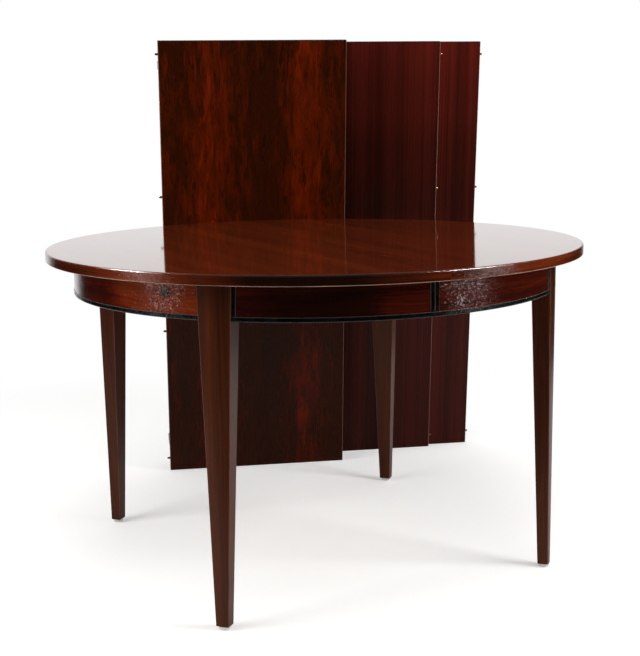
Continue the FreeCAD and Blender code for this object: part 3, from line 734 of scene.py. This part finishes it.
# lays the grain round the table: U along the curve, V up the face and on over its top or bottom
def wrapGrain(bm, radiusMm, middleDegrees):
    layer = bm.loops.layers.uv.new("grain")
    middle = math.radians(middleDegrees)
    for face in bm.faces:
        for loop in face.loops:
            x, y, z = loop.vert.co
            angle = (math.atan2(y, x) - middle + math.pi) % (2.0 * math.pi) - math.pi + middle
            loop[layer].uv = (angle * radiusMm * mm, z + radiusMm * mm - math.hypot(x, y))


legs = {"faceMm": 545.0, "innerTopMm": 499.0, "innerFootMm": 520.0, "wideTopMm": 73.0, "wideFootMm": 28.0,
        "topMm": 694.0, "footMm": 8.0, "roundMm": 1.5, "roundSteps": 5, "facets": 8, "crown": 11.0}


# plane of one side of a leg, moved out by a strip's width; the normal points away from the leg
def legSide(degrees, sign, extraMm):
    tangent = upright.cross(bearing(degrees)) * sign
    slope = (legs["wideTopMm"] - legs["wideFootMm"]) / 2 / (legs["topMm"] - legs["footMm"])
    point = tangent * (legs["wideFootMm"] / 2 + extraMm) * mm + upright * legs["footMm"] * mm
    return point, (tangent - upright * slope).normalized()


def makeLegs():
    middleMm = (legs["topMm"] + legs["footMm"]) / 2
    for name, degrees in legAngles.items():
        bm = bmesh.new()
        bmesh.ops.create_cube(bm, size=2.0)
        for vert in bm.verts:
            high = vert.co.z > 0
            wide = legs["wideTopMm"] if high else legs["wideFootMm"]
            inner = legs["innerTopMm"] if high else legs["innerFootMm"]
            vert.co = Vector((legs["faceMm"] if vert.co.x > 0 else inner, vert.co.y * wide / 2,
                              legs["topMm"] if high else legs["footMm"])) * mm
        # level edges across the leg, cut up so that its outer face can be crowned
        acrossEdges = [e for e in bm.edges if abs(e.verts[0].co.z - e.verts[1].co.z) < mm
                       and abs(e.verts[0].co.y - e.verts[1].co.y) > mm]
        bmesh.ops.subdivide_edges(bm, edges=acrossEdges, cuts=legs["facets"] - 1, use_grid_fill=True)
        for vert in bm.verts:
            if vert.co.x > (legs["innerFootMm"] + legs["faceMm"]) / 2 * mm:
                wide = legs["wideTopMm"] if vert.co.z > middleMm * mm else legs["wideFootMm"]
                vert.co.x -= vert.co.y ** 2 * math.tan(math.radians(legs["crown"])) / (wide * mm)
        # the rounded arrises are marked for a lighter colour: rubbed finish and a painted highlight
        roundArrises(bm, 0.0, middleMm, legs["roundMm"], legs["roundSteps"])
        turnPiece(bm, degrees)
        bmesh.ops.recalc_face_normals(bm, faces=bm.faces[:])
        side = name.split("_")[1]
        placePiece(bm, name + "_tapered_leg", side + "_half", [name + "_leg"], [rosewoodLeg])


glides = {"radiusMm": 11.0, "tallMm": 8.0, "insetMm": 0.4, "roundMm": 1.6, "roundSteps": 4, "steps": 48}


def makeGlides():
    middle = (legs["innerFootMm"] + legs["faceMm"] - glides["insetMm"]) / 2 * mm
    radius, tall = glides["radiusMm"], glides["tallMm"]
    outline = [(0.0, 0.0), (radius, 0.0), (radius, tall), (0.0, tall)]
    for name, degrees in legAngles.items():
        bm = bmesh.new()
        verts = [bm.verts.new((x * mm, 0.0, z * mm)) for x, z in outline]
        for first, second in zip(verts, verts[1:]):
            bm.edges.new((first, second))
        bmesh.ops.bevel(bm, geom=[verts[1]], offset=glides["roundMm"] * mm, affect="VERTICES",
                        segments=glides["roundSteps"], **rounding)
        bmesh.ops.spin(bm, geom=bm.verts[:] + bm.edges[:], cent=(0.0, 0.0, 0.0), axis=upright,
                       angle=2.0 * math.pi, steps=glides["steps"], use_merge=True)
        closeUp(bm)
        bmesh.ops.translate(bm, vec=(middle, 0.0, 0.0), verts=bm.verts[:])
        turnPiece(bm, degrees)
        side = name.split("_")[1]
        placePiece(bm, name + "_round_glide", side + "_half", [name + "_glide"], [nylon])


lipping = {"outerMm": 599.85, "wideMm": 17.85, "topMm": 715.0, "underMm": 694.0, "roundMm": 4.0,
           "underRoundMm": 1.5, "gapMm": 0.25, "chamferMm": 0.6, "rubbedAndLit": 1.0, "sweep": 91.0, "steps": 128}


def makeLippings():
    outer, under, top = lipping["outerMm"], lipping["underMm"], lipping["topMm"]
    inner = outer - lipping["wideMm"]
    corners = [(inner, under), (outer, under), (outer, top), (inner, top)]
    rounds = [0, lipping["underRoundMm"], lipping["roundMm"], 0]
    slant = Vector((-1.0, 0.0, 1.0)).normalized()
    for side, degrees in sideAngles.items():
        bm = sweepSection(corners, rounds, -lipping["sweep"], lipping["sweep"], lipping["steps"])
        trim(bm, (lipping["gapMm"] * mm, 0.0, 0.0), (-1.0, 0.0, 0.0))
        trim(bm, (lipping["gapMm"] * mm, 0.0, (top - lipping["chamferMm"]) * mm), slant)
        turnPiece(bm, degrees)
        wrapGrain(bm, outer, degrees)
        # the lower arris is marked for a lighter colour: rubbed finish and a painted highlight
        markArrisWearAndHighlight(bm, outer, under, lipping["underRoundMm"], lipping["rubbedAndLit"])
        for face in bm.faces:
            face.material_index = 1 if face.normal.z > shading["topFace"] else 0
        placePiece(bm, side + "_rounded_lipping", side + "_half", [side + "_edge_lipping"],
                   [rosewoodLipping, rosewoodTop])


aprons = {"innerMm": 522.0, "outerMm": 540.0, "lowMm": 628.0, "topMm": 694.0,
          "legDegrees": legAngles["back_right"], "middleDegrees": 67.0, "seamDegrees": 90.0,
          "seamMm": 0.5, "steps": 72,
          "beadLowMm": 618.0, "beadProudMm": 1.2, "beadRoundMm": 3.0, "beadTopMm": 1.1, "beadRubAndHighlight": 0.7,
          "stripMm": 9.0, "stripRoundMm": 0.8, "stripRoundSteps": 3, "stripTallMm": 50.0, "stripFrontMm": 0.1,
          "stripAtLeg": (12.0, 12), "stripAtSeam": (4.0, 6)}


def apronSection(low, high, proud):
    outer = aprons["outerMm"] + proud
    return [(aprons["innerMm"], low), (outer, low), (outer, high), (aprons["innerMm"], high)]


# the run between both legs of the right half
def endRun(corners, rounds):
    leg = aprons["legDegrees"]
    bm = sweepSection(corners, rounds, -leg, leg, aprons["steps"])
    for degrees, sign in ((leg, -1.0), (-leg, 1.0)):
        point, normal = legSide(degrees, sign, 0.0)
        trim(bm, point, -normal)
    return bm


# the run from the right half's back leg to the seam, less what a strip takes at each end
def seamRun(corners, rounds, stripMm):
    leg = aprons["legDegrees"]
    bm = sweepSection(corners, rounds, leg, aprons["seamDegrees"], aprons["steps"] // 2)
    point, normal = legSide(leg, 1.0, stripMm)
    trim(bm, point, -normal)
    trim(bm, ((aprons["seamMm"] + stripMm) * mm, 0.0, 0.0), (-1.0, 0.0, 0.0))
    return bm


# the strips stand on the bead, which runs on below them
def uprightStrips():
    corners = apronSection(aprons["lowMm"], aprons["topMm"], aprons["beadProudMm"])
    leg, seam = aprons["legDegrees"], aprons["seamDegrees"]
    sweep, steps = aprons["stripAtLeg"]
    atLeg = sweepSection(corners, square, leg, leg + sweep, steps)
    point, normal = legSide(leg, 1.0, 0.0)
    trim(atLeg, point, -normal)
    point, normal = legSide(leg, 1.0, aprons["stripMm"])
    trim(atLeg, point, normal)
    sweep, steps = aprons["stripAtSeam"]
    atSeam = sweepSection(corners, square, seam - sweep, seam, steps)
    trim(atSeam, (aprons["seamMm"] * mm, 0.0, 0.0), (-1.0, 0.0, 0.0))
    trim(atSeam, ((aprons["seamMm"] + aprons["stripMm"]) * mm, 0.0, 0.0), (1.0, 0.0, 0.0))
    frontMm = aprons["outerMm"] + aprons["beadProudMm"] - aprons["stripFrontMm"]
    for strip in (atLeg, atSeam):
        # the strips' rounded arrises are marked for a lighter grey: rubbed finish and a painted highlight
        roundArrises(strip, frontMm, aprons["stripTallMm"], aprons["stripRoundMm"], aprons["stripRoundSteps"])
        for face in strip.faces:
            face.material_index = 1
    return [atLeg, atSeam]


def makeAprons():
    panel = apronSection(aprons["lowMm"], aprons["topMm"], 0.0)
    bead = apronSection(aprons["beadLowMm"], aprons["lowMm"], aprons["beadProudMm"])
    softened = [0, aprons["beadRoundMm"], aprons["beadTopMm"], 0]
    for side, degrees in sideAngles.items():
        end = endRun(panel, square)
        back, front = [seamRun(panel, square, aprons["stripMm"]) for i in range(2)]
        flipFrontBack(front)
        names = ("back", "front") if side == "right" else ("front", "back")
        turned = aprons["middleDegrees"]
        for bm, name, middle in ((end, "end", 0.0), (back, names[0], turned), (front, names[1], -turned)):
            turnPiece(bm, degrees)
            wrapGrain(bm, aprons["outerMm"], middle + degrees)
            placePiece(bm, side + "_" + name + "_curved_panel", side + "_half",
                       [side + "_" + name + "_apron"], [rosewoodApron])
        beads = [endRun(bead, softened)] + [seamRun(bead, softened, 0.0) for i in range(2)]
        # the bead's upper arris is marked for a lighter grey: rubbed finish and a painted highlight
        for bm in beads:
            markArrisWearAndHighlight(bm, aprons["outerMm"] + aprons["beadProudMm"], aprons["lowMm"], aprons["beadTopMm"],
                     aprons["beadRubAndHighlight"])
        mirrored = [beads[2]] + uprightStrips()
        for bm in mirrored:
            flipFrontBack(bm)
        edging = gather(beads[:2] + uprightStrips() + mirrored)
        turnPiece(edging, degrees)
        placePiece(edging, side + "_black_edging", side + "_half", [side + "_apron_edging"],
                   [ebonised, ebonisedStrip])


makeLegs()
makeGlides()
makeLippings()
makeAprons()
print("legs, glides, lippings and aprons made")

# pieces that stay as they are, with a finish for each slot
slotFinish = {"rosewood_top": rosewoodTop, "rosewood_lipping": rosewoodLipping,
              "rosewood_apron": rosewoodApron, "rosewood_leg": rosewoodLeg, "ebonised_edging": ebonised,
              "beech": beech, "brass": brass, "steel": zincedSteel, "nylon": nylon}
for row in frame["record"]["subparts"]:
    leaf, slot = row["node"][:6], row["material_slot"]
    finish = slotFinish.get(slot)
    if leaf in leafPlace and slot.startswith("rosewood"):
        finish = leafApron if slot == "rosewood_apron" else leafFinish[leaf]
    nodes[row["node"]].material_slots[0].material = finish
print("finishes set on", len(nodes), "nodes")
